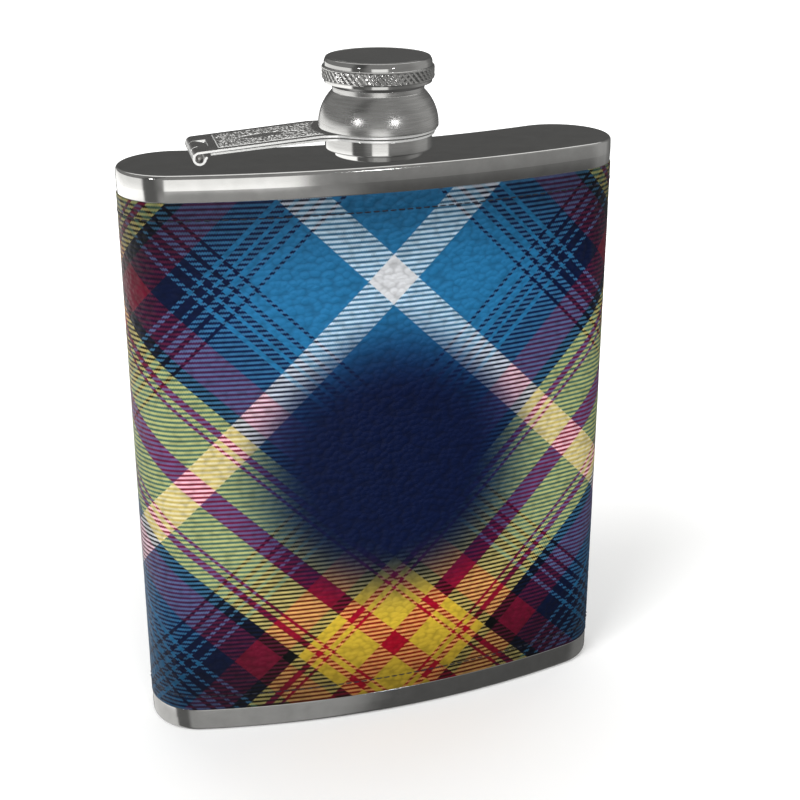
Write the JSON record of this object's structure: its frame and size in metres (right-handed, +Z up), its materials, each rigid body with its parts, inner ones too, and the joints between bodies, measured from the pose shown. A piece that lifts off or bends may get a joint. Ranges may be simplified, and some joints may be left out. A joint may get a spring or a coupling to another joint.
{
  "type": "hip flask",
  "caption": "Curved flat-oval steel hip flask with a tartan leather-look wrap, threaded neck and a domed screw cap on a hinged, swivelling captive arm.",
  "frame": {"origin": "middle of the base face, on the body's mid-thickness", "axes": "+Z up along the neck, +X to the side away from the hinge pin, -Y out of the convex front"},
  "size_m": [0.0962, 0.0258, 0.1315],
  "materials": {
    "polished_steel": "bright polished",
    "turned_steel": "fine turned rings",
    "pressed_steel": "polished, with an embossed pebble panel",
    "pin_steel": "bright drawn",
    "weld_metal": "ground weld",
    "braze_metal": "satin",
    "glue": "clear film",
    "printed_leather": "printed tartan with a pebbled grain",
    "thread": "twisted polyester",
    "seal_rubber": "matte"
  },
  "bodies": {
    "flask": {"body_shell": "polished_steel", "body_seam_weld": "weld_metal", "top_pan": "polished_steel", "bottom_pan": "polished_steel", "shoulder_weld": "weld_metal", "base_weld": "weld_metal", "neck_spout": "turned_steel", "neck_braze": "braze_metal", "neck_collar": "turned_steel", "wrap_adhesive": "glue", "leather_wrap": "printed_leather", "top_stitching": "thread", "bottom_stitching": "thread", "back_stitching": "thread"},
    "lower_arm": {"lower_link": "pressed_steel", "hinge_pin": "pin_steel"},
    "upper_arm": {"upper_link": "pressed_steel"},
    "seal": {"cap_seal": "seal_rubber"},
    "cap": {"cap_sleeve": "turned_steel", "cap_dome": "turned_steel", "cap_crown": "turned_steel", "cap_top_disc": "polished_steel"}
  },
  "joints": [
    {"name": "arm_swivel", "type": "hinge", "parent": "flask", "child": "lower_arm", "pos_m": [0, 0.0009, 0.1178], "axis": [0, 0, 1], "continuous": true},
    {"name": "arm_hinge", "type": "hinge", "parent": "lower_arm", "child": "upper_arm", "pos_m": [-0.03347, 0.00383, 0.11585], "axis": [-0.0872, -0.9962, 0], "range_deg": [0, 175]},
    {"name": "cap_lift", "type": "slide", "parent": "upper_arm", "child": "seal", "axis": [0, 0, 1], "range_m": [0, 0.0025]},
    {"name": "cap_turn", "type": "hinge", "parent": "seal", "child": "cap", "pos_m": [0, 0.0009, 0.1232], "axis": [0, 0, 1], "range_deg": [0, 720]}
  ],
  "couplings": [
    {"joint": "cap_lift", "follows": "cap_turn", "m_per_rad": 0.00019099}
  ]
}
